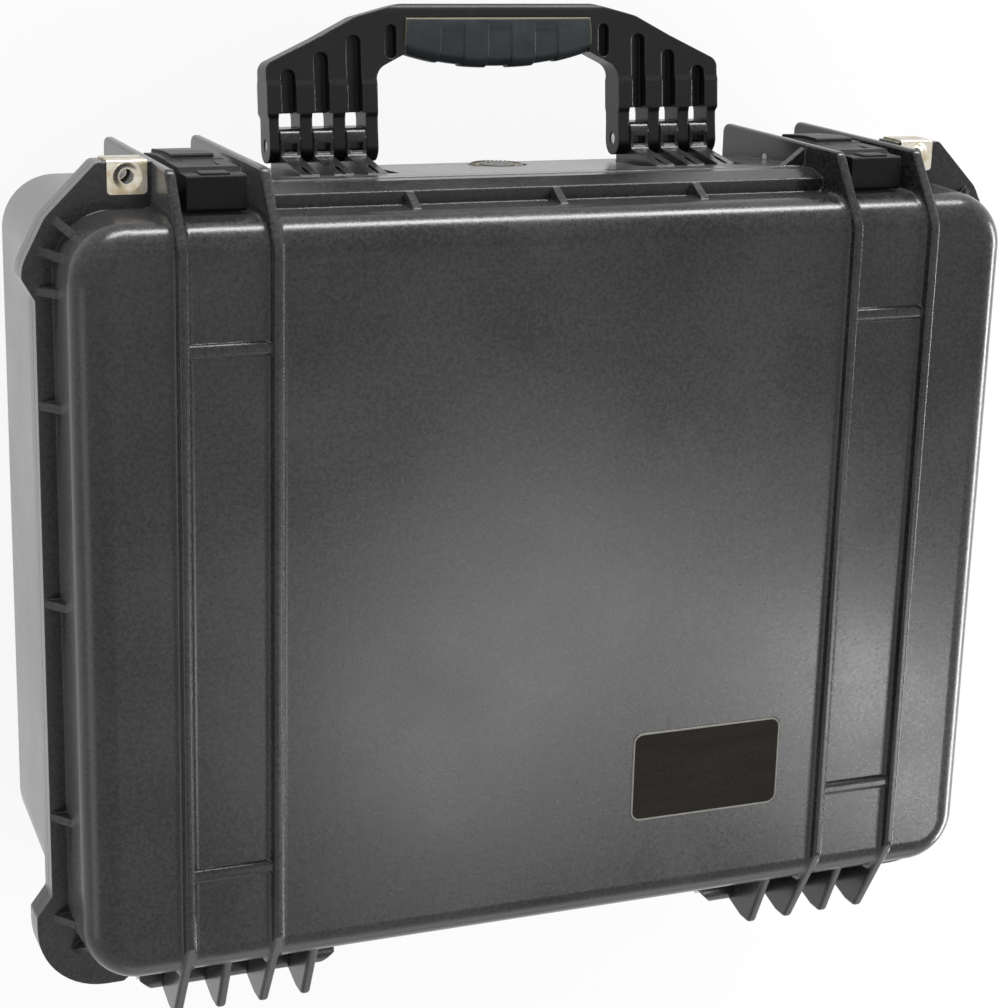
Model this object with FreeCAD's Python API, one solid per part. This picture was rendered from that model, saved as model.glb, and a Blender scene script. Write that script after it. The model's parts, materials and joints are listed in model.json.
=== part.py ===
import FreeCAD, Part
import os
from math import acos, cos, hypot, pi, radians, sin, tan

# Protective case with a hinged lid, two latches and a folding handle, in millimetres.
# It lies on its bottom with +Z up: the latches and the handle are at the front, -Y,
# the hinge is at the back, +Y, and the left end, seen from the front, is -X.
# The lid is shut and the handle stands out from the front, a little below level.

# Shells
floor_length = 475.0      # inside, along X, at the floor of the base
floor_width = 359.0       # inside, along Y, at the floor of the base
base_depth = 147.8
lid_depth = 45.7
wall = 5.0
draft = 0.03              # slope of the side walls
corner_radius = 28.0      # outside, in plan, at the rim
base_round = 9.0          # outside edge between floor and walls
lid_round = 16.0          # outside edge between lid face and walls
split_gap = 0.3           # between the two rims
moving_gap = 0.35         # between flat faces that pass each other
fit_gap = 0.05            # radial play of a pin in its bore
weld = 0.5                # pieces of one moulding run into each other by this much
root_depth = 8.0          # ribs and fins start this far behind the outside of a wall

# Ribs over the lid and under the base
rib_inset = 50.1          # outer rib from the outside of the end wall
rib_pitch = 44.8          # outer rib to inner rib
rib_width = 5.0
rib_height = 6.0
crest_round = 1.8
root_round = 3.0          # hollow between a rib and the dome of the lid
front_bend_inset = 13.6   # where a rib leaves the crest level, from the front wall
front_bend_round = 12.0
back_bend_inset = 20.6    # the same at the back
back_bend_round = 6.0
front_bar_inset = 60.3    # cross bars between two ribs, from the front and back walls
back_bar_inset = 56.6
bar_width = 7.0
bar_height = 2.8
bar_round = 2.4

# Guard fins beside the latches
guard_reach = 21.0        # in front of the rim's wall
guard_round = 5.0
lid_guard_drop = 24.0     # from the rib crest to the corner of the lid's guard fin
base_guard_length = 95.0  # down from the rim of the base
brace_length = 15.0
brace_end = 2.0
brace_height = 4.5

# Feet: ribs under the base that turn up at the back into fins to stand on
foot_height = 4.0
foot_bend_inset = 23.1
foot_round = 10.0
foot_toe_height = 26.0    # front end of a foot on the front wall
foot_toe_out = 1.4
stand_fin_low = 108.8     # ends of the stand fins, below the split
stand_fin_high = 48.8
stand_fin_root = 32.8

# Rim
rim_overhang = 8.2
front_rim_overhang = 9.5
lid_rim_thickness = 7.7
base_rim_thickness = 9.0
rim_round = 3.0           # in plan, at each bend of the rim
ledge_height = 12.4       # raised front edge of the lid between the inner ribs
ledge_slope = 3.4         # its face leans back by this much
lobe_overhang = 16.0      # bulge at each corner
front_lobe_overhang = 14.3
lobe_front_y = 147.3
lobe_back_y = 153.5
lobe_bevel = 10.5
lobe_front_round = 20.0
lobe_back_round = 34.0
lobe_back_reach = 8.0
boss_reach = 21.7         # padlock boss in front of the wall
boss_length = 28.5        # from the outer rib
boss_bevel_x = 24.5
boss_bevel_y = 24.8
boss_shoulder = 47.3
boss_round = 4.0
boss_bevel_round = 14.0
gusset_width = 4.0
gusset_height = 11.0
gusset_top = 2.0
front_gusset_pitch = 76.5
side_gusset_pitch = 54.5
first_side_gusset = 9.0   # behind the start of a front corner
last_side_gusset = 4.0    # behind the start of a back corner
corner_gusset_angle = 42.0
side_gusset_angle = 16.0   # second web on a front corner

# Seal
seal_width = 3.8
seal_height = 2.1
groove_gap = 0.3
groove_depth = 5.0
groove_inset = 4.4        # middle of the groove from the inside of the wall
lip_width = 2.4

# Hinge
hinge_out = 18.0          # axis behind the rim's wall
knuckle_radius = 8.0
hinge_pin_diameter = 5.0
end_knuckle_width = 12.0
inner_knuckle_width = 19.0
knuckle_bevel = 8.0
knuckle_root = 34.0       # knuckle arms run this far down the back wall
knuckle_heel = 14.0
fin_tip_out = 29.5        # behind the rim's wall
fin_tip_drop = 29.0       # below the rib crest
fin_tip_height = 10.0
fin_round = 4.0
fin_heel = 3.0
fin_start_inset = 14.0    # upper end of a short fin on the dome
fin_start_drop = 9.0

# Latches
latch_clearance = 5.6     # beside the guard fins
latch_round = 1.5
jaw_height = 22.5
jaw_gap = 0.35
jaw_back_gap = 0.9        # between the jaw and the dome
hook_front = 17.6         # first step of the hook in front of the wall
hook_step = 1.9           # each further step
hook_step_drop = 14.0     # below the top of the jaw
hook_step_slope = 4.0
hook_clearance = 0.9      # between the hook's plate and the rim
hook_plate = 4.6
hook_lip_drop = 8.65      # lower edge of the hook's face, below the split
latch_pin_diameter = 5.0
latch_pin_drop = 44.5     # below the split
latch_knuckle_radius = 6.0
latch_knuckle_gap = 2.0   # between the knuckle and the rim's wall
arm_half = 4.0            # half the thickness of an arm at its pin
arm_bend = 8.0
arm_straight = 16.0
lever_pin_diameter = 4.0
lever_pin_out = 15.2
lever_pin_rise = 5.0      # above the split
lever_pin_hold = 6.0      # length of pin in each side of the hook
lever_knuckle_radius = 3.8
tongue_width = 14.0
tongue_back = 2.0
tongue_rise = 4.0
lever_lip_drop = 53.0     # lower end of the lever, below the split
lever_proud = 0.4
lever_flare = 2.2         # lower end of the lever bends back to the case
lever_flare_length = 24.0
lever_flare_round = 6.0
lever_band_width = 21.0
lever_band_inset = 4.0

# Handle
handle_drop = 62.1        # middle of the handle below the split
handle_pivot_out = 18.2   # in front of the rim's wall
handle_pin_diameter = 6.0
handle_pin_inset = 0.5
handle_reach = 70.0       # pivot to the top of the bar
handle_tilt = 6.0         # degrees, from straight out, as it hangs in the photograph
handle_side_gap = 27.9    # between the handle and an inner rib
handle_half_depth = 7.6   # at the bar
handle_round = 4.5
leg_pitch = 17.4
outer_leg_width = 5.0
leg_end_radius = 8.6
leg_half_depth = 8.0
belt_start = 16.0         # raised belt round the legs, above the pivot
belt_end = 30.0
belt_proud = 0.9
belt_slope = 2.5
shoulder_rise = 40.5      # above the pivot
shoulder_round = 6.0
crown_inset = 47.0        # from the shoulder in to the bar
crown_drop = 6.3
crown_run = 24.0          # from the crown in to the level part of the bar
kink_inset = 27.3         # hollow of the shoulder, from the side
kink_drop = 16.4          # and below the top of the bar
kink_round = 30.0
crown_round = 14.0
arch_round = 8.0
slot_gap = 0.5            # between a leg and the bracket beside it
slot_width = 7.6          # between the legs, above the brackets
slot_rise = 54.5          # innermost slot, above the pivot
slot_rise_step = 8.4
slot_round = 3.5
slot_web = 3.0            # closes the slots half way through
eye_slot_rise = 59.7      # short slot beside the grip, above the pivot
eye_slot_length = 17.0
eye_slot_width = 6.0
grip_inset = 16.1         # between the inner leg and the grip
grip_half_depth = 9.5
grip_drop = 32.4          # finger side of the grip below the top of the bar
grip_swell = 7.6          # middle third of the grip below its ends
grip_round = 5.0
rail_height = 7.2
core_half_depth = 5.0
core_height = 14.0

# Brackets and shelf in front of the base, under the handle
bracket_width = 10.0
bracket_radius = 9.0
bracket_round = 5.0
ramp_length = 33.0
ramp_rise = 8.0
ramp_round = 3.0
relief_wall = 1.6
relief_depth = 4.5
relief_above = 2.0        # ends of the relief from the pivot
relief_below = 5.0
drain_diameter = 2.4
drain_below = 8.2
shelf_out_top = 9.8
shelf_out_bottom = 5.6
shelf_length = 72.5
shelf_round = 3.0
pocket_depth = 2.0
pocket_length = 40.0
pocket_end = 4.0

# Padlock clips
clip_sheet = 1.0
clip_width = 19.0
clip_length = 15.0
clip_round = 2.5
clip_edge_gap = 0.4
clip_from_rib = 14.4
shackle_hole = 7.0
shackle_out = 15.0
collar_wall = 0.8
collar_depth = 2.5
notch_width = 9.5

# Name plate
plate_length = 85.0
plate_width = 48.0
plate_thickness = 1.2
plate_recess = 0.8
plate_gap = 0.3
plate_radius = 4.0
plate_from_rib = 68.5     # middle of the plate from the inner rib
plate_from_back = 77.6    # and from the back wall

# Valve
valve_drop = 58.3         # middle of the valve below the split
valve_diameter = 29.0
valve_rim = 2.2
valve_rim_round = 1.2
valve_seat_out = 3.4
valve_seat_gap = 1.0
valve_stem_diameter = 16.0
valve_stem_length = 22.0
valve_bore = 8.0
valve_seal_thickness = 1.0
valve_seal_diameter = 25.0
valve_nut_flats = 24.0
valve_nut_thickness = 5.0
valve_nut_round = 1.0
valve_cap_diameter = 19.0
valve_cap_thickness = 1.4
valve_cap_recess = 1.0
valve_membrane_diameter = 13.0
valve_membrane_thickness = 0.6
valve_boss_diameter = 31.0
valve_boss_height = 3.5
vent_diameter = 1.6
vent_circle = 11.0
vent_count = 6

# Levels and half sizes that follow
floor_z = foot_height + wall
split_z = floor_z + base_depth
base_top = split_z - split_gap / 2
lid_bottom = split_z + split_gap / 2
face_z = split_z + lid_depth + wall
crest_z = face_z + rib_height
rim_x = floor_length / 2 + wall + draft * (split_z - foot_height)
rim_y = floor_width / 2 + wall + draft * (split_z - foot_height)
lid_rim_top = lid_bottom + lid_rim_thickness
ledge_top = lid_rim_top + ledge_height
base_rim_bottom = base_top - base_rim_thickness
groove_offset = groove_inset - wall
outer_rib_x = rim_x - rib_inset
inner_rib_x = outer_rib_x - rib_pitch
fin_pitch = rib_pitch / 2
first_fin_x = inner_rib_x - fin_pitch
guard_y = -rim_y - guard_reach
boss_y = -rim_y - boss_reach
hinge_y = rim_y + hinge_out
hinge_z = split_z
latch_x = (inner_rib_x + outer_rib_x) / 2
latch_width = rib_pitch - rib_width - 2 * latch_clearance
latch_pin_y = -rim_y - latch_knuckle_radius - latch_knuckle_gap
latch_pin_z = split_z - latch_pin_drop
lever_pin_y = -rim_y - lever_pin_out
lever_pin_z = split_z + lever_pin_rise
hook_inside = -rim_y - front_rim_overhang - hook_clearance
hook_face = -rim_y - hook_front - hook_step
hook_lip_z = split_z - hook_lip_drop
lever_top = lever_pin_z - hypot(lever_pin_z - hook_lip_z, lever_pin_y - hook_face) - moving_gap
handle_y = -rim_y - handle_pivot_out
handle_z = split_z - handle_drop
handle_half_length = inner_rib_x - handle_side_gap
leg_inner_x = handle_half_length - 3 * leg_pitch - outer_leg_width
leg_width = leg_pitch - bracket_width - 2 * slot_gap
bar_top = handle_y - handle_reach
grip_half_length = leg_inner_x - grip_inset
shelf_y = -rim_y - shelf_out_bottom
valve_y = -rim_y - valve_seat_out
valve_z = split_z - valve_drop
clip_x = outer_rib_x + clip_from_rib
shackle_y = -rim_y - shackle_out

Vector = FreeCAD.Vector
AXES = {"X": Vector(1, 0, 0), "Y": Vector(0, 1, 0), "Z": Vector(0, 0, 1)}
NORMAL = {"XY": "Z", "YZ": "X", "XZ": "Y"}


def point(plane, a, b, level):
    """Point of a named plane at a level along the plane's normal."""
    if plane == "XY":
        return Vector(a, b, level)
    if plane == "YZ":
        return Vector(level, a, b)
    return Vector(a, level, b)


def outline(corners, plane, level):
    """Closed wire through (a, b, radius) corners, each rounded by its own radius."""
    stretches = []
    for index, (a, b, radius) in enumerate(corners):
        if radius == 0:
            stretches.append([point(plane, a, b, level)])
            continue
        before = corners[index - 1]
        after = corners[(index + 1) % len(corners)]
        back_length = hypot(before[0] - a, before[1] - b)
        on_length = hypot(after[0] - a, after[1] - b)
        back = ((before[0] - a) / back_length, (before[1] - b) / back_length)
        on = ((after[0] - a) / on_length, (after[1] - b) / on_length)
        half_angle = acos(back[0] * on[0] + back[1] * on[1]) / 2
        reach = radius / tan(half_angle)
        middle = (back[0] + on[0], back[1] + on[1])
        depth = (radius / sin(half_angle) - radius) / hypot(*middle)
        stretches.append([
            point(plane, a + back[0] * reach, b + back[1] * reach, level),
            point(plane, a + middle[0] * depth, b + middle[1] * depth, level),
            point(plane, a + on[0] * reach, b + on[1] * reach, level)])
    edges = []
    for index, stretch in enumerate(stretches):
        if len(stretch) == 3:
            edges.append(Part.Arc(*stretch).toShape())
        following = stretches[(index + 1) % len(stretches)][0]
        if stretch[-1].distanceToPoint(following) > 1e-6:
            edges.append(Part.LineSegment(stretch[-1], following).toShape())
    return Part.Wire(edges)


def prism(corners, plane, start, end):
    """Solid between two levels over a rounded outline."""
    face = Part.Face(outline(corners, plane, start))
    return face.extrude(AXES[NORMAL[plane]] * (end - start))


def sharp(*pairs):
    """Outline corners without rounding."""
    return [(a, b, 0) for a, b in pairs]


def moved(corners, a, b):
    return [(x + a, y + b, radius) for x, y, radius in corners]


def block(x0, x1, y0, y1, z0, z1):
    return Part.makeBox(x1 - x0, y1 - y0, z1 - z0, Vector(x0, y0, z0))


def rod(axis, a, b, diameter, start, end):
    """Round bar along an axis through the point (a, b) of the plane square to it."""
    plane = {"X": "YZ", "Y": "XZ", "Z": "XY"}[axis]
    return Part.makeCylinder(diameter / 2, end - start, point(plane, a, b, start), AXES[axis])


def bore(axis, a, b, pin_diameter, start, end):
    """Room for a pin, with its play."""
    return rod(axis, a, b, pin_diameter + 2 * fit_gap, start, end)


def rectangle(half_x, half_y, radius):
    return [(half_x, half_y, radius), (-half_x, half_y, radius),
            (-half_x, -half_y, radius), (half_x, -half_y, radius)]


def ring(half_x, half_y, radius, width, z0, z1):
    """Closed band round the rim, on the inside and outside of a middle line."""
    outside = rectangle(half_x + width / 2, half_y + width / 2, radius + width / 2)
    inside = rectangle(half_x - width / 2, half_y - width / 2, radius - width / 2)
    return prism(outside, "XY", z0, z1).cut(prism(inside, "XY", z0, z1))


def groove_ring(width, z0, z1):
    """Band that follows the seal's groove."""
    return ring(rim_x + groove_offset, rim_y + groove_offset, corner_radius + groove_offset, width, z0, z1)


def rounded(shape, radius, wanted):
    """Shape with a fillet on every edge that the test picks."""
    return shape.makeFillet(radius, [edge for edge in shape.Edges if wanted(edge)])


def frustum(half_x, half_y, z_flat, taper, z_open):
    """Block with four flat sloping sides, smaller by the taper at its flat end."""
    ends = sorted([(z_flat, half_x - taper, half_y - taper), (z_open, half_x, half_y)])
    (z0, x0, y0), (z1, x1, y1) = ends
    wedge = Part.makeWedge(-x0, z0, -y0, -y1, -x1, x0, z1, y0, y1, x1)
    wedge.rotate(Vector(0, 0, 0), AXES["X"], 90)
    return wedge


def tub(inset, z_flat, z_open, edge_radius):
    """Drafted block from its flat end, with rounded edges there, to its open end at the rim."""
    taper = draft * abs(z_open - z_flat)
    solid = frustum(rim_x - inset, rim_y - inset, z_flat, taper, z_open)
    solid = rounded(solid, corner_radius - inset, lambda edge: edge.BoundBox.ZLength > 1)
    return rounded(solid, edge_radius, lambda edge: abs(edge.CenterOfMass.z - z_flat) < 1e-3)


def mirrored(shape):
    return shape.mirror(Vector(0, 0, 0), AXES["X"])


def both_sides(shape):
    return [shape, mirrored(shape)]


def joined(shapes):
    return shapes[0].multiFuse(shapes[1:]).removeSplitter()


def rim_outline():
    """Rim in plan: padlock bosses at the front, a bulge at each corner, straight in between."""
    side = rim_x + rim_overhang
    lobe = rim_x + lobe_overhang
    front_lobe = rim_x + front_lobe_overhang
    front = -rim_y - front_rim_overhang
    back = rim_y + rim_overhang
    boss_start_x = outer_rib_x + rib_width / 2 - weld
    boss_end_x = outer_rib_x + boss_length
    right = [
        (boss_start_x, front, 0),
        (boss_start_x, boss_y, 0),
        (boss_end_x, boss_y, boss_round),
        (boss_end_x + boss_bevel_x, boss_y + boss_bevel_y, boss_bevel_round),
        (front_lobe, boss_y + boss_shoulder, lobe_front_round),
        (front_lobe, -lobe_front_y - lobe_bevel, rim_round),
        (side, -lobe_front_y, rim_round),
        (side, lobe_back_y, rim_round),
        (lobe, lobe_back_y + lobe_bevel, rim_round),
        (lobe, back + lobe_back_reach, lobe_back_round),
        (outer_rib_x + boss_length - lobe_bevel / 2, back + lobe_back_reach, rim_round),
        (outer_rib_x + boss_length - 1.5 * lobe_bevel, back, rim_round)]
    left = [(-x, y, radius) for x, y, radius in reversed(right)]
    return right + left


def at_ribs(make):
    """The same thing at all four ribs."""
    return [make(side * place) for place in (inner_rib_x, outer_rib_x) for side in (-1, 1)]


def rib(profile, x, buried):
    """Upright rib over a profile seen from the end, with a rounded crest where it isn't buried."""
    body = prism(profile, "YZ", x - rib_width / 2, x + rib_width / 2)

    def on_crest(edge):
        return edge.BoundBox.XLength < 1e-3 and not buried(edge.CenterOfMass)

    return rounded(body, crest_round, on_crest)


def fin_tail(start_y, start_z):
    """Back end of a lid rib or fin: down from a start point to its tip and to the hinge."""
    tip_y = rim_y + fin_tip_out
    tip_z = crest_z - fin_tip_drop
    heel_y = hinge_y + knuckle_radius - weld
    return [
        (start_y, start_z, back_bend_round),
        (tip_y, tip_z, fin_round),
        (tip_y, tip_z - fin_tip_height, fin_round),
        (heel_y, hinge_z + fin_heel, 0),
        (heel_y, lid_bottom, 0),
        (rim_y - root_depth, lid_bottom, 0)]


def fin_places():
    return [side * (first_fin_x + index * fin_pitch) for index in range(4) for side in (-1, 1)]


def knuckle_spans():
    """Stretches of the hinge, on one side, between and beside the fins of the lid."""
    half = rib_width / 2 + moving_gap
    last = first_fin_x + 3 * fin_pitch
    spans = [(first_fin_x - half - inner_knuckle_width, first_fin_x - half)]
    for index in range(3):
        x = first_fin_x + index * fin_pitch
        spans.append((x + half, x + fin_pitch - half))
    spans.append((last + half, last + half + end_knuckle_width))
    return spans


def hinge_bore():
    spans = knuckle_spans()
    return bore("X", hinge_y, hinge_z, hinge_pin_diameter, spans[0][0], spans[-1][1])


def lid_dome():
    """Top of the lid with its four long ribs, hollowed softly where they meet."""
    dome = tub(0, face_z, lid_bottom, lid_round)
    profile = [
        (-rim_y + root_depth, lid_bottom, 0),
        (guard_y, lid_bottom, 0),
        (guard_y, crest_z - lid_guard_drop, guard_round),
        (-rim_y + front_bend_inset, crest_z, front_bend_round)]
    profile += fin_tail(rim_y - back_bend_inset, crest_z)

    def on_split(centre):
        return centre.z < lid_bottom + 1e-3

    ribbed = dome.multiFuse(at_ribs(lambda x: rib(profile, x, on_split)))

    def at_root(edge):
        middle = edge.valueAt((edge.FirstParameter + edge.LastParameter) / 2)
        beside = abs(abs(abs(middle.x) - latch_x) - rib_pitch / 2) < rib_width / 2 + 1e-3
        upright = edge.BoundBox.XLength < 1e-3
        return beside and upright and not on_split(middle) and dome.isInside(middle, 1e-3, True)

    ribbed = rounded(ribbed, root_round, at_root)
    short_fin = fin_tail(rim_y - fin_start_inset, crest_z - fin_start_drop)
    return [ribbed] + [rib(short_fin, x, on_split) for x in fin_places()]


def lid_rim():
    """Rim of the lid, raised between the inner ribs, with a slot for each padlock."""
    rim = prism(rim_outline(), "XY", lid_bottom, lid_rim_top)
    front = -rim_y - front_rim_overhang
    section = [(-rim_y + root_depth, lid_rim_top - weld, 0), (front, lid_rim_top - weld, 0),
               (front, lid_rim_top, 0), (front + ledge_slope, ledge_top, gusset_top / 2),
               (-rim_y + root_depth, ledge_top, 0)]
    ledge = prism(section, "YZ", -inner_rib_x, inner_rib_x)
    return rim.fuse(ledge).cut(both_sides(shackle_notch(lid_bottom, lid_rim_top)))


def lid_shell():
    pads = [rod("X", hinge_y, hinge_z, 2 * knuckle_radius, x - rib_width / 2, x + rib_width / 2)
            for x in fin_places()]
    bars = []
    for y in (-rim_y + front_bar_inset, rim_y - back_bar_inset):
        foot = face_z - wall / 2
        top = face_z + bar_height
        section = [(y - bar_width / 2, foot, 0), (y - bar_width / 2, top, bar_round),
                   (y + bar_width / 2, top, bar_round), (y + bar_width / 2, foot, 0)]
        bars += both_sides(prism(section, "YZ", inner_rib_x, outer_rib_x))
    lid = joined(lid_dome() + [lid_rim()] + pads + bars + gussets())

    cuts = [tub(wall, face_z - wall, lid_bottom, lid_round - wall)]
    cuts.append(groove_ring(seal_width + 2 * groove_gap, lid_bottom, lid_bottom + groove_depth))
    cuts += both_sides(hinge_bore())
    pocket = rectangle(plate_length / 2 + plate_gap, plate_width / 2 + plate_gap, plate_radius + plate_gap)
    cuts.append(prism(plate_placed(pocket), "XY", face_z - plate_recess, crest_z))
    return lid.cut(cuts)


def plate_placed(corners):
    return moved(corners, plate_from_rib - inner_rib_x, rim_y - plate_from_back)


def gussets():
    """Small webs between the wall of the lid and its rim."""

    def stand(x, y, angle, foot, overhang):
        reach = overhang + wall / 2
        web = sharp((0, foot - weld), (reach, foot - weld), (reach, foot),
                    (gusset_top, foot + gusset_height), (0, foot + gusset_height))
        upright = prism(web, "XZ", -gusset_width / 2, gusset_width / 2)
        upright.rotate(Vector(0, 0, 0), AXES["Z"], angle)
        upright.translate(Vector(x, y, 0))
        return upright

    shapes = []
    for x in (-front_gusset_pitch, 0, front_gusset_pitch):
        shapes.append(stand(x, -rim_y + wall / 2, -90, ledge_top, front_rim_overhang - ledge_slope - weld))
    first = corner_radius - rim_y + first_side_gusset
    last = rim_y - corner_radius + last_side_gusset
    for y in (first, first + side_gusset_pitch, 0, last - side_gusset_pitch, last):
        shapes.append(stand(rim_x - wall / 2, y, 0, lid_rim_top, rim_overhang - weld))
        shapes.append(stand(-rim_x + wall / 2, y, 180, lid_rim_top, rim_overhang - weld))
    middle = corner_radius - wall / 2
    corner_x, corner_y = rim_x - corner_radius, rim_y - corner_radius
    places = ((corner_gusset_angle, -1), (side_gusset_angle, -1), (corner_gusset_angle, 1))
    for angle, end in places:
        along, out = middle * cos(radians(angle)), middle * sin(radians(angle))
        web = stand(corner_x + along, end * (corner_y + out), end * angle, lid_rim_top, rim_overhang - weld)
        shapes += both_sides(web)
    return shapes


def shackle_notch(z0, z1):
    """Slot for a padlock shackle, open towards the front edge of the boss."""
    half = notch_width / 2
    front = boss_y - weld
    corners = [(clip_x - half, front, 0), (clip_x + half, front, 0),
               (clip_x + half, shackle_y + half, half - fit_gap),
               (clip_x - half, shackle_y + half, half - fit_gap)]
    return prism(corners, "XY", z0, z1)


def hinge_knuckle(x0, x1):
    """Block of the base that holds the hinge pin between two fins of the lid."""
    heel_y = hinge_y + knuckle_radius - 3 * weld
    arm = sharp((heel_y, hinge_z - knuckle_radius / 2), (hinge_y, hinge_z - knuckle_heel),
                (rim_y - root_depth, hinge_z - knuckle_root), (rim_y - root_depth, base_top),
                (hinge_y - knuckle_radius + weld, base_top))
    barrel = rod("X", hinge_y, hinge_z, 2 * knuckle_radius, x0, x1)
    return prism(arm, "YZ", x0, x1).fuse(barrel)


def bracket(x):
    """Ear that carries the handle, with a ramp in front and a square relief in its face."""
    root_y = shelf_y + pocket_depth
    front = handle_z + bracket_radius
    body = [
        (handle_y - bracket_radius, front, bracket_round),
        (handle_y - bracket_radius, handle_z - bracket_radius, bracket_round),
        (root_y, handle_z - bracket_radius, 0),
        (root_y, front + ramp_length, 0),
        (-rim_y - shelf_out_top + weld, front + ramp_length, 0),
        (shelf_y - ramp_rise, front, ramp_round)]
    ear = prism(body, "YZ", x - bracket_width / 2, x + bracket_width / 2)
    half = bracket_width / 2 - relief_wall
    relief = block(x - half, x + half, handle_y - relief_above, handle_y + relief_below,
                   front - relief_depth, front)
    drain = rod("Z", x, handle_y + drain_below, drain_diameter, front - relief_depth, front + ramp_length)
    return ear.cut([relief, drain])


def slot_places():
    """Middles of the gaps between the legs, numbered from the inner one outwards."""
    first = leg_inner_x + leg_width + leg_gap() / 2
    return [(index, side * (first + index * leg_pitch)) for index in range(3) for side in (-1, 1)]


def leg_gap():
    return leg_pitch - leg_width


def guard():
    """Guard fins of the base, one at each rib."""
    root_y = -rim_y + root_depth
    low = base_top - base_guard_length
    profile = [(root_y, base_top, 0), (root_y, low, 0), (guard_y, low, guard_round), (guard_y, base_top, 0)]

    def in_front_wall(centre):
        return centre.y > root_y - 1 or centre.z > base_top - 1e-3

    return at_ribs(lambda x: rib(profile, x, in_front_wall))


def feet():
    """Ribs under the base, each with a toe at the front and a stand fin at the back."""
    root = root_depth + draft * base_depth
    toe_y = -rim_y + draft * (split_z - foot_toe_height) - foot_toe_out
    back_y = rim_y + fin_tip_out
    profile = [
        (-rim_y + root, foot_toe_height + root, 0),
        (toe_y, foot_toe_height, foot_round / 2),
        (-rim_y + foot_bend_inset, 0, foot_round),
        (rim_y - foot_bend_inset, 0, foot_round),
        (back_y, split_z - stand_fin_low, guard_round),
        (back_y, split_z - stand_fin_high, guard_round),
        (rim_y - root_depth, split_z - stand_fin_root, 0),
        (rim_y - root, foot_toe_height + root, 0)]

    def in_floor(centre):
        return abs(centre.y) < rim_y - wall and centre.z > foot_height

    return at_ribs(lambda x: rib(profile, x, in_floor))


def shelf():
    """Thick band across the front between the inner ribs, with a pocket behind each leg."""
    root_y = -rim_y + root_depth
    profile = [
        (-rim_y - shelf_out_top, base_top, 0),
        (shelf_y, base_top - shelf_length, shelf_round),
        (root_y, base_top - shelf_length, 0),
        (root_y, base_top, 0)]
    band = prism(profile, "YZ", -inner_rib_x, inner_rib_x)
    half = leg_width / 2 + slot_gap
    pockets = []
    for index in range(4):
        x = leg_inner_x + leg_width / 2 + index * leg_pitch
        pockets += both_sides(block(x - half, x + half, handle_y, shelf_y + pocket_depth,
                                    handle_z - leg_end_radius - pocket_end, handle_z + pocket_length))
    return band.cut(pockets)


def brace():
    """Slanted web from the shelf to an inner guard fin."""
    low = -rim_y - shelf_out_top + weld
    high = guard_y + crest_round
    corners = sharp((inner_rib_x - brace_length, low), (inner_rib_x, low), (inner_rib_x, high),
                    (inner_rib_x - brace_end, high))
    return prism(corners, "XY", base_top - weld - brace_height, base_top - weld)


def knuckle_bevels():
    """Corners taken off both ends of one hinge."""
    spans = knuckle_spans()
    back = hinge_y + knuckle_radius
    corners = []
    for x, side in ((spans[0][0], 1), (spans[-1][1], -1)):
        corner = sharp((x, back), (x + side * knuckle_bevel, back), (x, back - knuckle_bevel))
        corners.append(prism(corner, "XY", hinge_z - knuckle_root, hinge_z + knuckle_radius))
    return corners


def base_shell():
    knuckles = []
    for x0, x1 in knuckle_spans():
        knuckles += both_sides(hinge_knuckle(x0, x1).cut(knuckle_bevels()))
    brackets = [bracket(x) for index, x in slot_places()]
    rim = prism(rim_outline(), "XY", base_rim_bottom, base_top)
    rim = rim.cut(both_sides(shackle_notch(base_rim_bottom, base_top)))
    base = tub(0, foot_height, base_top, base_round)
    base = joined([base, rim, shelf()] + guard() + feet() + both_sides(brace()) + knuckles + brackets)

    cuts = [tub(wall, floor_z, base_top, base_round - wall)]
    cuts += both_sides(hinge_bore())
    cuts += both_sides(bore("X", latch_pin_y, latch_pin_z, latch_pin_diameter,
                            inner_rib_x - rib_width, outer_rib_x + rib_width))
    cuts += both_sides(bore("X", handle_y, handle_z, handle_pin_diameter, leg_inner_x, handle_half_length))
    cuts.append(rod("Y", 0, valve_z, valve_diameter + 2 * valve_seat_gap, handle_y, valve_y))
    base = base.cut(cuts)
    nut_seat = rod("Y", 0, valve_z, valve_boss_diameter, -rim_y + wall / 2, nut_seat_y())
    lip_top = lid_bottom + groove_depth - seal_height - groove_gap
    lip = groove_ring(lip_width, base_top - weld, lip_top)
    stem_bore = bore("Y", 0, valve_z, valve_stem_diameter, handle_y, nut_seat_y())
    return joined([base, nut_seat, lip]).cut(stem_bore)


def nut_seat_y():
    return -rim_y + wall + valve_boss_height


def lid_seal():
    top = lid_bottom + groove_depth
    return groove_ring(seal_width, top - seal_height, top)


def name_plate():
    plate = rectangle(plate_length / 2, plate_width / 2, plate_radius)
    seat = face_z - plate_recess
    return prism(plate_placed(plate), "XY", seat, seat + plate_thickness)


def hinge_pin():
    spans = knuckle_spans()
    return rod("X", hinge_y, hinge_z, hinge_pin_diameter, spans[0][0], spans[-1][1])


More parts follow.
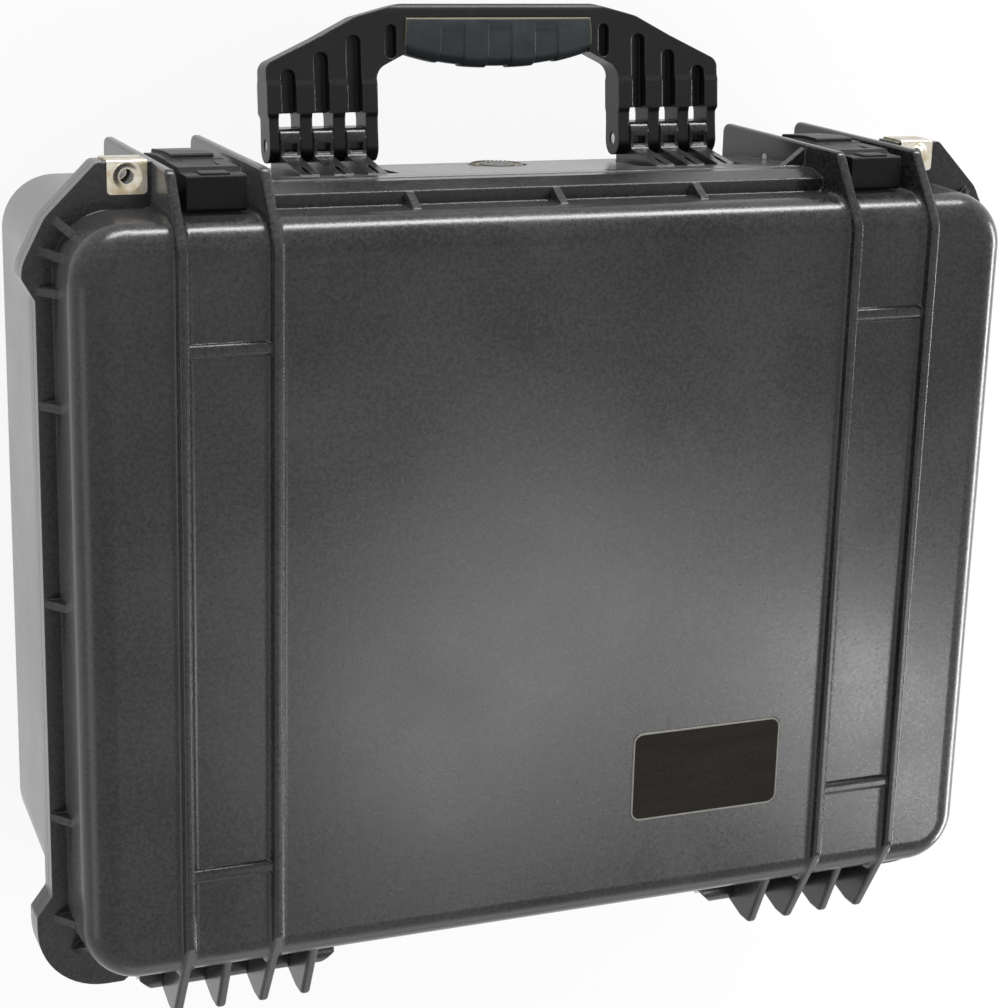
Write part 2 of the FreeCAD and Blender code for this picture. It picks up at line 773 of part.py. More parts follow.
def latch_hook():
    """Hook of one latch: jaw over the lid's rim, stepped plate, and two arms down to the pin."""
    x0, x1 = latch_x - latch_width / 2, latch_x + latch_width / 2
    jaw_back = -rim_y - jaw_back_gap
    jaw_front = -rim_y - hook_front
    jaw_bottom = lid_rim_top + jaw_gap
    jaw_top = jaw_bottom + jaw_height
    step_z = jaw_top - hook_step_drop
    arm_front = hook_inside - hook_plate
    profile = [
        (jaw_back, jaw_bottom, latch_round),
        (jaw_back, jaw_top, latch_round),
        (jaw_front, jaw_top, latch_round),
        (jaw_front, step_z + hook_step_slope / 2, latch_round),
        (hook_face, step_z - hook_step_slope / 2, latch_round),
        (hook_face, hook_lip_z, 0),
        (arm_front, hook_lip_z, 0),
        (arm_front, latch_pin_z + arm_bend, latch_round),
        (latch_pin_y - arm_half, latch_pin_z, 0),
        (latch_pin_y + arm_half, latch_pin_z, 0),
        (hook_inside, latch_pin_z + arm_straight, latch_round),
        (hook_inside, jaw_bottom, 0)]
    hook = prism(profile, "YZ", x0, x1)
    hook = hook.fuse(rod("X", latch_pin_y, latch_pin_z, 2 * latch_knuckle_radius, x0, x1))
    tongue_half = tongue_width / 2 + moving_gap
    slot_top = lever_pin_z + lever_knuckle_radius + 3 * moving_gap
    slot = block(latch_x - tongue_half, latch_x + tongue_half, guard_y, -rim_y,
                 latch_pin_z - 2 * latch_knuckle_radius, slot_top)
    hold = tongue_width / 2 + lever_pin_hold
    pin_bores = [bore("X", latch_pin_y, latch_pin_z, latch_pin_diameter, x0, x1),
                 bore("X", lever_pin_y, lever_pin_z, lever_pin_diameter, latch_x - hold, latch_x + hold)]
    return hook.cut([slot] + pin_bores).removeSplitter()


def latch_lever():
    """Thumb lever: a plate over the hook's arms, a raised band, and a tongue up to its own pin."""
    x0, x1 = latch_x - latch_width / 2, latch_x + latch_width / 2
    inside = hook_inside - hook_plate - moving_gap
    bottom = split_z - lever_lip_drop

    def plate(front, top, low, width):
        face = [
            (inside, top, 0),
            (front, top, latch_round),
            (front, low + lever_flare_length, lever_flare_round),
            (front + lever_flare, low, latch_round),
            (inside, low, latch_round / 2)]
        return prism(face, "YZ", latch_x - width / 2, latch_x + width / 2)

    front = hook_face - lever_proud
    body = plate(front, lever_top, bottom, latch_width)
    band = plate(front - hook_step, lever_top - lever_band_inset, bottom + lever_proud, lever_band_width)
    tongue_x0, tongue_x1 = latch_x - tongue_width / 2, latch_x + tongue_width / 2
    tongue = sharp((lever_pin_y + lever_knuckle_radius, lever_pin_z),
                   (lever_pin_y - lever_knuckle_radius, lever_pin_z),
                   (front, lever_top - latch_round),
                   (inside + tongue_back, lever_top - latch_round),
                   (inside + tongue_back, lever_top + tongue_rise))
    tongue = prism(tongue, "YZ", tongue_x0, tongue_x1)
    knuckle = rod("X", lever_pin_y, lever_pin_z, 2 * lever_knuckle_radius, tongue_x0, tongue_x1)
    pin_bore = bore("X", lever_pin_y, lever_pin_z, lever_pin_diameter, x0, x1)
    return joined([body, band, tongue, knuckle]).cut(pin_bore)


def latch_pin():
    half = (rib_pitch + rib_width) / 2
    return rod("X", latch_pin_y, latch_pin_z, latch_pin_diameter, latch_x - half, latch_x + half)


def lever_pin():
    half = tongue_width / 2 + lever_pin_hold - fit_gap
    return rod("X", lever_pin_y, lever_pin_z, lever_pin_diameter, latch_x - half, latch_x + half)


def handle_side_profile():
    """Handle seen from its end: round leg ends, a belt half way up, thick at the bar."""
    belt = leg_half_depth + belt_proud
    half = [(leg_half_depth, leg_end_radius), (leg_half_depth, belt_start - belt_slope), (belt, belt_start),
            (belt, belt_end), (leg_half_depth, belt_end + belt_slope), (handle_half_depth, shoulder_rise)]
    front = [(handle_y - rise, handle_z + depth, 0) for depth, rise in half]
    back = [(handle_y - rise, handle_z - depth, 0) for depth, rise in reversed(half)]
    top = [(bar_top, handle_z + handle_half_depth, handle_round),
           (bar_top, handle_z - handle_half_depth, handle_round)]
    end_round = leg_end_radius - 2 * weld
    foot = [(handle_y + leg_end_radius, handle_z - leg_end_radius, end_round),
            (handle_y + leg_end_radius, handle_z + leg_end_radius, end_round)]
    return front + top + back + foot


def handle_core():
    """Part of the bar that the grip is moulded round."""
    top = bar_top + rail_height
    return block(-grip_half_length, grip_half_length, top, top + core_height,
                 handle_z - core_half_depth, handle_z + core_half_depth)


def handle_frame():
    """Handle in one moulding: slotted legs, shoulders, rail and the core of the grip."""
    z0, z1 = handle_z - 2 * handle_half_depth, handle_z + 2 * handle_half_depth
    foot_y = handle_y + leg_end_radius
    outside = handle_half_length + belt_proud
    crown_x = handle_half_length - crown_inset
    bar_under = bar_top + grip_drop - grip_swell
    arch_y = bar_under + arch_round
    right = [
        (leg_inner_x, foot_y, 0),
        (handle_half_length, foot_y, 0),
        (handle_half_length, handle_y - belt_start + belt_slope, belt_slope / 2),
        (outside, handle_y - belt_start, belt_slope / 2),
        (outside, handle_y - shoulder_rise, shoulder_round),
        (handle_half_length - kink_inset, bar_top + kink_drop, kink_round),
        (crown_x, bar_top + crown_drop, crown_round),
        (crown_x - crown_run, bar_top, crown_round)]
    left = [(-x, y, radius) for x, y, radius in reversed(right)]
    under = [
        (-leg_inner_x, arch_y, arch_round),
        (-grip_half_length, bar_under, arch_round / 2),
        (grip_half_length, bar_under, arch_round / 2),
        (leg_inner_x, arch_y, arch_round)]
    frame = prism(right + left + under, "XY", z0, z1)
    frame = frame.common(prism(handle_side_profile(), "YZ", -outside, outside))
    cuts = []
    half = slot_width / 2
    web = slot_web / 2
    sides = ((handle_z + web, z1), (z0, handle_z - web))
    for index, x in slot_places():
        slot_top = handle_y - slot_rise + index * slot_rise_step
        cuts.append(block(x - leg_gap() / 2, x + leg_gap() / 2, handle_y - belt_start, foot_y, z0, z1))
        narrow = [(x - half, handle_y, 0), (x + half, handle_y, 0),
                  (x + half, slot_top, slot_round), (x - half, slot_top, slot_round)]
        cuts += [prism(narrow, "XY", *side) for side in sides]
    eye_x = (leg_inner_x + grip_half_length) / 2
    eye = moved(rectangle(eye_slot_width / 2, eye_slot_length / 2, eye_slot_width / 2 - fit_gap),
                eye_x, handle_y - eye_slot_rise + eye_slot_length / 2)
    for side in sides:
        cuts += both_sides(prism(eye, "XY", *side))
    cuts += both_sides(bore("X", handle_y, handle_z, handle_pin_diameter, leg_inner_x, outside))
    cuts.append(block(-grip_half_length, grip_half_length, bar_top + rail_height, handle_y, z0, z1))
    return frame.cut(cuts).fuse(handle_core()).removeSplitter()


def tilted(shape):
    """Handle piece turned about the pivot, from straight out to how it hangs."""
    shape.rotate(Vector(0, handle_y, handle_z), AXES["X"], handle_tilt)
    return shape


def handle_grip():
    """Rubber sleeve on the bar, swelling towards the fingers in the middle."""
    top = bar_top + rail_height
    under = bar_top + grip_drop
    swell_half = grip_half_length / 3
    face = [
        (-grip_half_length, top, 0),
        (grip_half_length, top, 0),
        (grip_half_length, under - grip_swell, grip_round / 2),
        (swell_half, under, swell_half),
        (-swell_half, under, swell_half),
        (-grip_half_length, under - grip_swell, grip_round / 2)]
    body = prism(face, "XY", handle_z - grip_half_depth, handle_z + grip_half_depth)

    def finger_edge(edge):
        return edge.BoundBox.ZLength < 1e-3 and edge.CenterOfMass.y > top + core_height / 2

    return rounded(body, grip_round, finger_edge).cut(handle_core())


def handle_pin():
    return rod("X", handle_y, handle_z, handle_pin_diameter, leg_inner_x + handle_pin_inset,
               handle_half_length - handle_pin_inset)


def padlock_clip(on_lid):
    """Pressed stainless clip over a padlock boss, with a drawn hole for the shackle."""
    half = clip_width / 2
    if on_lid:
        seat, out, far = lid_rim_top, 1, lid_bottom + clip_edge_gap
    else:
        seat, out, far = base_rim_bottom, -1, base_top - clip_edge_gap
    outside = seat + out * clip_sheet
    face = [(clip_x - half, boss_y - clip_sheet, 0), (clip_x + half, boss_y - clip_sheet, 0),
            (clip_x + half, boss_y + clip_length, clip_round),
            (clip_x - half, boss_y + clip_length, clip_round)]
    clip = prism(face, "XY", *sorted((seat, outside)))
    skirt = block(clip_x - half, clip_x + half, boss_y - clip_sheet, boss_y, *sorted((outside, far)))
    collar_ends = sorted((outside, seat - out * collar_depth))
    collar = rod("Z", clip_x, shackle_y, shackle_hole + 2 * collar_wall, *collar_ends)
    hole = rod("Z", clip_x, shackle_y, shackle_hole, *collar_ends)
    return joined([clip, skirt, collar]).cut(hole)


def valve_recess_y():
    """Bottom of the recess in the valve's face that holds the cap."""
    return valve_y - valve_seal_thickness - valve_rim + valve_cap_recess


def valve_body():
    seat = valve_y - valve_seal_thickness
    face = seat - valve_rim
    end = seat + valve_stem_length
    rim = rod("Y", 0, valve_z, valve_diameter, face, seat)
    rim = rounded(rim, valve_rim_round, lambda edge: abs(edge.CenterOfMass.y - face) < 1e-3)
    stem = rod("Y", 0, valve_z, valve_stem_diameter, seat, end)
    floor = valve_recess_y()
    recess = bore("Y", 0, valve_z, valve_cap_diameter, face, floor)
    pan = bore("Y", 0, valve_z, valve_membrane_diameter, face, floor + valve_membrane_thickness)
    air_way = rod("Y", 0, valve_z, valve_bore, face, end)
    return rim.fuse(stem).cut([recess, pan, air_way])


def valve_cap():
    seat = valve_recess_y()
    outside = seat - valve_cap_thickness
    cap = rod("Y", 0, valve_z, valve_cap_diameter, outside, seat)
    vents = []
    for index in range(vent_count):
        turn = 2 * pi * index / vent_count
        x = vent_circle / 2 * cos(turn)
        z = valve_z + vent_circle / 2 * sin(turn)
        vents.append(rod("Y", x, z, vent_diameter, outside, seat))
    return cap.cut(vents)


def valve_membrane():
    seat = valve_recess_y()
    return rod("Y", 0, valve_z, valve_membrane_diameter, seat, seat + valve_membrane_thickness)


def valve_seal():
    disc = rod("Y", 0, valve_z, valve_seal_diameter, valve_y - valve_seal_thickness, valve_y)
    return disc.cut(bore("Y", 0, valve_z, valve_stem_diameter, valve_y - valve_seal_thickness, valve_y))


def valve_nut():
    start = nut_seat_y()
    end = start + valve_nut_thickness
    corner = valve_nut_flats / 2 / cos(pi / 6)
    turns = [k * pi / 3 for k in range(6)]
    hexagon = [(corner * cos(turn), valve_z + corner * sin(turn), valve_nut_round) for turn in turns]
    nut = prism(hexagon, "XZ", start, end)
    return nut.cut(bore("Y", 0, valve_z, valve_stem_diameter, start, end))


nodes = {
    "base_shell": base_shell(),
    "lid_shell": lid_shell(),
    "lid_seal": lid_seal(),
    "name_plate": name_plate(),
    "handle_frame": tilted(handle_frame()),
    "handle_grip": tilted(handle_grip()),
    "valve_body": valve_body(),
    "valve_cap": valve_cap(),
    "valve_membrane": valve_membrane(),
    "valve_seal": valve_seal(),
    "valve_nut": valve_nut(),
}
pairs = {
    "hinge_pin": hinge_pin(),
    "latch_hook": latch_hook(),
    "latch_lever": latch_lever(),
    "latch_pin": latch_pin(),
    "lever_pin": lever_pin(),
    "handle_pin": handle_pin(),
    "padlock_clip_lid": padlock_clip(True),
    "padlock_clip_base": padlock_clip(False),
}
for name, shape in pairs.items():
    nodes[name + "_right"] = shape
    nodes[name + "_left"] = mirrored(shape)

os.makedirs("parts", exist_ok=True)
for name, shape in nodes.items():
    shape.exportStep("parts/" + name + ".step")
    print(name, len(shape.Solids), round(shape.Volume / 1000, 2), shape.isValid())
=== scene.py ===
import json
import math
import bpy
from mathutils import Matrix, Vector


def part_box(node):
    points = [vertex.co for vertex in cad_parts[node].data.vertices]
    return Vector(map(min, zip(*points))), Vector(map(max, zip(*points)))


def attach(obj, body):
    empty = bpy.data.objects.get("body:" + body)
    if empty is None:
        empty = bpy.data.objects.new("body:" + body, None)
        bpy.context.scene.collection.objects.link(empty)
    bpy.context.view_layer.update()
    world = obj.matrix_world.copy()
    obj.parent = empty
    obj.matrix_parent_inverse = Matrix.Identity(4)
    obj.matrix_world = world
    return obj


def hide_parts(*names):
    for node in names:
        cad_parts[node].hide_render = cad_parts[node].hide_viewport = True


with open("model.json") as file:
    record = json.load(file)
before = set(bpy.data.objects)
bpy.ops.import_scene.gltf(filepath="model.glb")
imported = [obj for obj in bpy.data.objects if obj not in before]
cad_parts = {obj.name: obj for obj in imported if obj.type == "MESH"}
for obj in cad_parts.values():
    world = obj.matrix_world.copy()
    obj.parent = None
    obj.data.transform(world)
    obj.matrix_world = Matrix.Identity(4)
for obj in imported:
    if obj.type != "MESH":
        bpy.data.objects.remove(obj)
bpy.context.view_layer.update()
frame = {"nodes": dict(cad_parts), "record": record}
MM = 0.001


# Base shell: one deep injection moulding in a tough charcoal copolymer, with the rim, the guard
# fins, the handle shelf and its brackets all moulded on. The skin is satin with a fine grain,
# slightly clouded where the melt flowed. Its edges are painted lighter, partly as wear from
# handling and partly as a painted highlight.
class Field:
    """One value, colour or vector over a surface: a shader socket that takes part in expressions."""

    def __init__(self, tree, socket=None):
        self.tree = tree
        self.socket = socket

    def node(self, kind, settings, inputs, output=0):
        made = self.tree.nodes.new("ShaderNode" + kind)
        for name, value in settings.items():
            setattr(made, name, value)
        for name, value in inputs.items():
            if isinstance(value, Field):
                self.tree.links.new(value.socket, made.inputs[name])
            else:
                made.inputs[name].default_value = value
        return Field(self.tree, made.outputs[output] if made.outputs else None)

    def math(self, operation, *values):
        return self.node("Math", {"operation": operation}, dict(enumerate(values)))

    def __add__(self, other):
        return self.math("ADD", self, other)

    def __sub__(self, other):
        return self.math("SUBTRACT", self, other)

    def __rsub__(self, other):
        return self.math("SUBTRACT", other, self)

    def __mul__(self, other):
        return self.math("MULTIPLY", self, other)

    def clamped(self):
        return self.node("Clamp", {}, {"Value": self})

    def step(self, low, high):
        settings = {"interpolation_type": "SMOOTHSTEP"}
        return self.node("MapRange", settings, {"Value": self, "From Min": low, "From Max": high})

    def mix(self, low, high):
        """Colour from low to high as this value goes from 0 to 1."""
        return self.node("Mix", {"data_type": "RGBA"}, {0: self, 6: low, 7: high}, 2)

    def dot(self, other):
        return self.node("VectorMath", {"operation": "DOT_PRODUCT"}, {0: self, 1: other}, 1)

    __radd__ = __add__
    __rmul__ = __mul__


def new_finish(name):
    material = bpy.data.materials.new(name)
    material.use_nodes = True
    material.node_tree.nodes.clear()
    return material, Field(material.node_tree)


def object_place(start):
    return start.node("TexCoord", {}, {}, 3)


def noise(place, scale, detail=3.0, rough=0.55):
    inputs = {"Vector": place, "Scale": scale, "Detail": detail, "Roughness": rough}
    return place.node("TexNoise", {}, inputs)


def bump(height, depth, normal=None):
    inputs = {"Height": height, "Distance": depth, "Strength": 1.0}
    if normal:
        inputs["Normal"] = normal
    return height.node("Bump", {}, inputs)


def coloured(red, green, blue):
    return (red, green, blue, 1.0)


def moulded(name, dark, light, worn_and_lit, roughness, edge=0.9, mottle_size=2.0, grain_depth=0.04,
            haze=0.0, gloss=0.5):
    """Moulded plastic: clouded and mottled colour, fine grain, softened edges painted lighter,
    partly as wear and partly as a painted highlight.

    The edge's rounding, the mottle's size and the grain's depth are in millimetres."""
    material, start = new_finish(name)
    place = object_place(start)
    clouds = noise(place, 14.0, 3.0, 0.5)
    mottle = noise(place, 1.0 / (mottle_size * MM), 4.0, 0.65)
    specks = noise(place, 1.0 / (0.3 * mottle_size * MM), 2.0, 0.6)
    soft = start.node("Bevel", {"samples": 4}, {"Radius": edge * MM})
    true = start.node("NewGeometry", {}, {}, 1)
    # Edge mask: edges are painted lighter, partly as real wear from handling and partly as a painted
    # highlight along crests and rims.
    wear_and_highlight = ((1.0 - soft.dot(true)) * 5.0 * (0.5 + clouds)).clamped()
    tone = (0.25 * clouds + 0.45 * mottle + 0.3 * specks).step(0.37, 0.63)
    colour = (wear_and_highlight * 0.5).mix(tone.mix(dark, light), worn_and_lit)
    rough = roughness + (clouds - 0.5) * 0.15 + (mottle - 0.5) * 0.12 - wear_and_highlight * 0.08
    pebbles = bump(mottle, grain_depth * MM, soft)
    grain = bump(specks, 0.4 * grain_depth * MM, pebbles)
    shader = start.node("BsdfPrincipled", {}, {
        "Base Color": colour, "Roughness": rough.clamped(), "Normal": grain, "IOR": 1.52,
        "Specular IOR Level": gloss, "Sheen Weight": haze, "Sheen Roughness": 0.25})
    start.node("OutputMaterial", {}, {"Surface": shader})
    return material


def painted(material, *names):
    for name in names:
        frame["nodes"][name].material_slots[0].material = material


# The third colour is the edge colour: wear plus a painted highlight.
shell_plastic = moulded(
    "shell_plastic", coloured(0.001, 0.001, 0.001), coloured(0.027, 0.0262, 0.0265),
    coloured(0.04, 0.04, 0.041), 0.23, haze=0.2, gloss=0.36)
painted(shell_plastic, "base_shell")


# Lid shell: the same charcoal moulding as the base, a domed cover with four long ribs, hung on two
# steel pins at the back. Its rim holds the seal, the fins of the hinge and the padlock bosses.
painted(shell_plastic, "lid_shell")


# Name plate: a bare satin film plate, glued in a shallow seat on the lid. A thin bead stands round
# its edge, coloured pale as a painted highlight along the edge.
plate_low, plate_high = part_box("name_plate")
plate_corner = 5.0 * MM
bead_width = 1.1 * MM
film, start = new_finish("plate_film")
place = object_place(start)
dust = noise(place, 900.0, 3.0)
smear = noise(place.node("Mapping", {}, {"Vector": place, "Scale": (30.0, 140.0, 30.0)}), 1.0, 3.0)
shader = start.node("BsdfPrincipled", {}, {
    "Base Color": (0.6 * dust + 0.4 * smear).step(0.35, 0.7).mix(
        coloured(0.012, 0.011, 0.009), coloured(0.026, 0.023, 0.019)),
    "Roughness": (0.5 + 0.2 * smear).clamped(), "Normal": bump(dust, 0.015 * MM),
    "Specular IOR Level": 0.08})
start.node("OutputMaterial", {}, {"Surface": shader})
painted(film, "name_plate")


def bead(name, half_x, half_y, corner, centre, radius, steps=12):
    """Closed bead of round section along a rectangle with rounded corners."""
    path = bpy.data.curves.new(name, "CURVE")
    path.dimensions = "3D"
    path.bevel_depth = radius
    path.bevel_resolution = 4
    spline = path.splines.new("POLY")
    points = []
    for quarter in range(4):
        sign_x = 1 if quarter in (0, 3) else -1
        sign_y = 1 if quarter < 2 else -1
        for step in range(steps + 1):
            angle = math.radians(90 * (quarter + step / steps))
            points.append(centre + Vector((
                sign_x * (half_x - corner) + corner * math.cos(angle),
                sign_y * (half_y - corner) + corner * math.sin(angle), 0)))
    spline.points.add(len(points) - 1)
    for point, where in zip(spline.points, points):
        point.co = (*where, 1.0)
    spline.use_cyclic_u = True
    return path


def made_mesh(name, data):
    """A mesh piece with the shape of a curve or of an object with modifiers."""
    source = data if isinstance(data, bpy.types.Object) else bpy.data.objects.new(name, data)
    bpy.context.scene.collection.objects.link(source)
    bpy.context.view_layer.update()
    shape = source.evaluated_get(bpy.context.evaluated_depsgraph_get())
    mesh = bpy.data.meshes.new_from_object(shape)
    bpy.data.objects.remove(source)
    mesh.name = name
    piece = bpy.data.objects.new(name, mesh)
    bpy.context.scene.collection.objects.link(piece)
    for face in mesh.polygons:
        face.use_smooth = True
    return piece


def dressed(piece, material, body):
    piece.data.materials.clear()
    piece.data.materials.append(material)
    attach(piece, body)


plate_middle = (Vector(plate_low) + Vector(plate_high)) / 2
plate_middle.z = plate_high[2] - bead_width / 4
plate_bead = made_mesh("plate_bead", bead(
    "plate_bead", (plate_high[0] - plate_low[0]) / 2, (plate_high[1] - plate_low[1]) / 2,
    plate_corner, plate_middle, bead_width / 2))
# The bead's pale colour is a painted highlight along the plate's edge.
bead_painted_highlight = moulded(
    "bead_painted_highlight", coloured(0.16, 0.15, 0.135), coloured(0.24, 0.225, 0.20),
    coloured(0.32, 0.30, 0.27), 0.3, edge=0.2, mottle_size=1.2, grain_depth=0.02)
dressed(plate_bead, bead_painted_highlight, "lid")


# Handle: one black nylon moulding, three slotted legs a side that pivot on steel pins between the
# brackets of the shelf, with a round rail over the grip.
handle_plastic = moulded(
    "handle_plastic", coloured(0.003, 0.003, 0.0033), coloured(0.009, 0.009, 0.0094),
    coloured(0.05, 0.05, 0.051), 0.34, edge=1.2, mottle_size=1.6, gloss=0.22)
painted(handle_plastic, "handle_frame")


# Grip: a grey-blue rubber sleeve moulded over the bar, barrel shaped to fill the hand, with three
# finger hollows and a pale line of flash where it meets the handle.
fold = next(joint for joint in frame["record"]["behaviour"]["joints"] if joint["name"] == "handle_fold")
pivot = Vector(fold["pos_m"])
hang = Matrix.Rotation(math.radians(-fold["range_deg"][0]), 4, "X")
grip_reach = 51.0 * MM
grip_top = 62.8 * MM
grip_under = 37.6 * MM
grip_end_lift = 7.6 * MM
grip_depth = 9.3 * MM
grip_corner = 7.0 * MM
hollow_pitch = 25.7 * MM
hollow_half = 6.3 * MM
hollow_depth = 0.9 * MM
hollow_edge = 0.35 * MM
hollow_top = 58.6 * MM
belly_out = 0.5 * MM
end_taper = 0.9 * MM
end_spread = 0.03
seam_width = 0.45 * MM


def smooth_step(value, low, high):
    share = min(max((value - low) / (high - low), 0.0), 1.0)
    return share * share * (3 - 2 * share)


def hollow_share(x, rise):
    """1 in a finger hollow, 0 between the hollows."""
    nearest = min(abs(x - place * hollow_pitch) for place in (-1, 0, 1))
    across = 1 - smooth_step(nearest, hollow_half - hollow_edge, hollow_half + hollow_edge)
    return across * (1 - smooth_step(rise, hollow_top - hollow_edge, hollow_top + hollow_edge))


def grip_section(x, count=44):
    """Points round the sleeve at one place along it: down one face, under the bar, up the other."""
    share = abs(x) / grip_reach
    low = grip_under + grip_end_lift * share ** 2.2
    depth = grip_depth - end_taper * share ** 2
    side = grip_top - low - grip_corner
    bend = math.pi / 2 * grip_corner
    bottom = 2 * (depth - grip_corner)
    whole = 2 * side + 2 * bend + bottom
    ring = []
    for index in range(count + 1):
        along = whole * index / count
        if along > whole / 2:
            turn, along = -1, whole - along
        else:
            turn = 1
        if along < side:
            spot, normal = (grip_top - along, depth), (0.0, 1.0)
        elif along < side + bend:
            angle = (along - side) / grip_corner
            spot = (low + grip_corner * (1 - math.sin(angle)),
                    depth - grip_corner * (1 - math.cos(angle)))
            normal = (-math.sin(angle), math.cos(angle))
        else:
            spot, normal = (low, depth - grip_corner - (along - side - bend)), (-1.0, 0.0)
        sunk = hollow_depth * hollow_share(x, spot[0])
        belly = belly_out * math.sin(math.pi * min(along / side, 1.0))
        ring.append((spot[0] - normal[0] * sunk, turn * (spot[1] + normal[1] * (belly - sunk))))
    return ring


stations = 260
columns = [-grip_reach + 2 * grip_reach * index / stations for index in range(stations + 1)]
points, seam = [], []
for x in columns:
    for rise, depth in grip_section(x):
        widen = 1 + end_spread * (grip_top - rise) / (grip_top - grip_under)
        points.append(pivot + hang @ Vector((x * widen, -rise, depth)))
        end = grip_reach - abs(x)
        seam.append(1 - smooth_step(min(end, grip_top - rise), 0.4 * seam_width, seam_width))
around = len(points) // len(columns)
faces = []
for column in range(stations):
    first = column * around
    for index in range(around - 1):
        a, b = first + index, first + index + 1
        faces.append((a, a + around, b + around, b))
    faces.append((first + around - 1, first + 2 * around - 1, first + around, first))
faces.append(tuple(range(around)))
faces.append(tuple(stations * around + index for index in range(around - 1, -1, -1)))
grip_mesh = bpy.data.meshes.new("grip_sleeve")
grip_mesh.from_pydata(points, [], faces)
grip_mesh.attributes.new("seam", "FLOAT", "POINT").data.foreach_set("value", seam)
for face in grip_mesh.polygons:
    face.use_smooth = len(face.vertices) == 4
grip = bpy.data.objects.new("grip_sleeve", grip_mesh)
bpy.context.scene.collection.objects.link(grip)

grip_rubber, start = new_finish("grip_rubber")
place = object_place(start)
grain = noise(place, 1400.0, 3.0, 0.6)
cloud = noise(place, 60.0, 3.0)
flash = start.node("Attribute", {"attribute_name": "seam"}, {}, 2)
shader = start.node("BsdfPrincipled", {}, {
    "Base Color": flash.mix(
        (0.5 * grain + 0.5 * cloud).step(0.35, 0.65).mix(
            coloured(0.012, 0.016, 0.018), coloured(0.026, 0.033, 0.037)),
        coloured(0.12, 0.105, 0.055)),
    "Roughness": (0.46 + 0.2 * (cloud - 0.5) + 0.12 * (grain - 0.5)).clamped(),
    "Normal": bump(grain, 0.03 * MM), "Specular IOR Level": 0.25})
start.node("OutputMaterial", {}, {"Surface": shader})
dressed(grip, grip_rubber, "handle")
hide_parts("handle_grip")


# Latches: black nylon hooks that grip the rim of the lid, each with a thumb lever on its own pin.
# A raised strip stiffens the middle of the jaw, in line with the tongue of the lever.
strip_half = 7.0 * MM
strip_rise = 0.9 * MM
strip_length = 10.5 * MM
strip_drop = 1.8 * MM
strip_round = 0.6 * MM
jaw_front_y = -206.7 * MM
latch_plastic = moulded(
    "latch_plastic", coloured(0.002, 0.002, 0.0022), coloured(0.008, 0.008, 0.0083),
    coloured(0.07, 0.07, 0.071), 0.36, edge=0.8, mottle_size=1.6, gloss=0.1)
painted(latch_plastic, "latch_hook_left", "latch_hook_right", "latch_lever_left", "latch_lever_right")


def rounded_box(name, low, high, radius):
    """Box between two corners with rounded edges."""
    corners = [(x, y, z) for x in (low[0], high[0]) for y in (low[1], high[1]) for z in (low[2], high[2])]
    sides = [(0, 1, 3, 2), (4, 6, 7, 5), (0, 4, 5, 1), (2, 3, 7, 6), (0, 2, 6, 4), (1, 5, 7, 3)]
    mesh = bpy.data.meshes.new(name)
    mesh.from_pydata(corners, [], sides)
    block = bpy.data.objects.new(name + "_block", mesh)
    round_edges = block.modifiers.new("round", "BEVEL")
    round_edges.width = radius
    round_edges.segments = 3
    return made_mesh(name, block)


for side in ("left", "right"):
    low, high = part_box("latch_hook_" + side)
    middle = (low[0] + high[0]) / 2
    strip = rounded_box(
        "latch_strip_" + side,
        (middle - strip_half, jaw_front_y - strip_rise, high[2] - strip_drop - strip_length),
        (middle + strip_half, jaw_front_y + strip_rise, high[2] - strip_drop), strip_round)
    dressed(strip, latch_plastic, "latch_hook_" + side)


# Padlock clips: thin stainless pressings clipped over the bosses of both rims, with a dished hole
# for the shackle; bright, with a warm tint from the passivation.
clip_sheet = 1.0 * MM
dish_reach = 7.2 * MM
dish_depth = 0.85 * MM
clip_bend = 1.6 * MM
clip_corner = 2.0 * MM
clip_cell = 0.28 * MM
clip_crease = math.radians(50)
clip_steel, start = new_finish("clip_steel")
place = object_place(start)
drawn = noise(place.node("Mapping", {}, {"Vector": place, "Scale": (1.0, 0.12, 1.0)}), 2600.0, 2.0)
tarnish = noise(place, 170.0, 4.0)
shader = start.node("BsdfPrincipled", {}, {
    "Base Color": tarnish.step(0.35, 0.7).mix(coloured(0.66, 0.63, 0.55), coloured(0.50, 0.42, 0.27)),
    "Roughness": (0.14 + 0.16 * tarnish + 0.08 * drawn).clamped(),
    "Metallic": 1.0, "Normal": bump(drawn, 0.01 * MM)})
start.node("OutputMaterial", {}, {"Surface": shader})


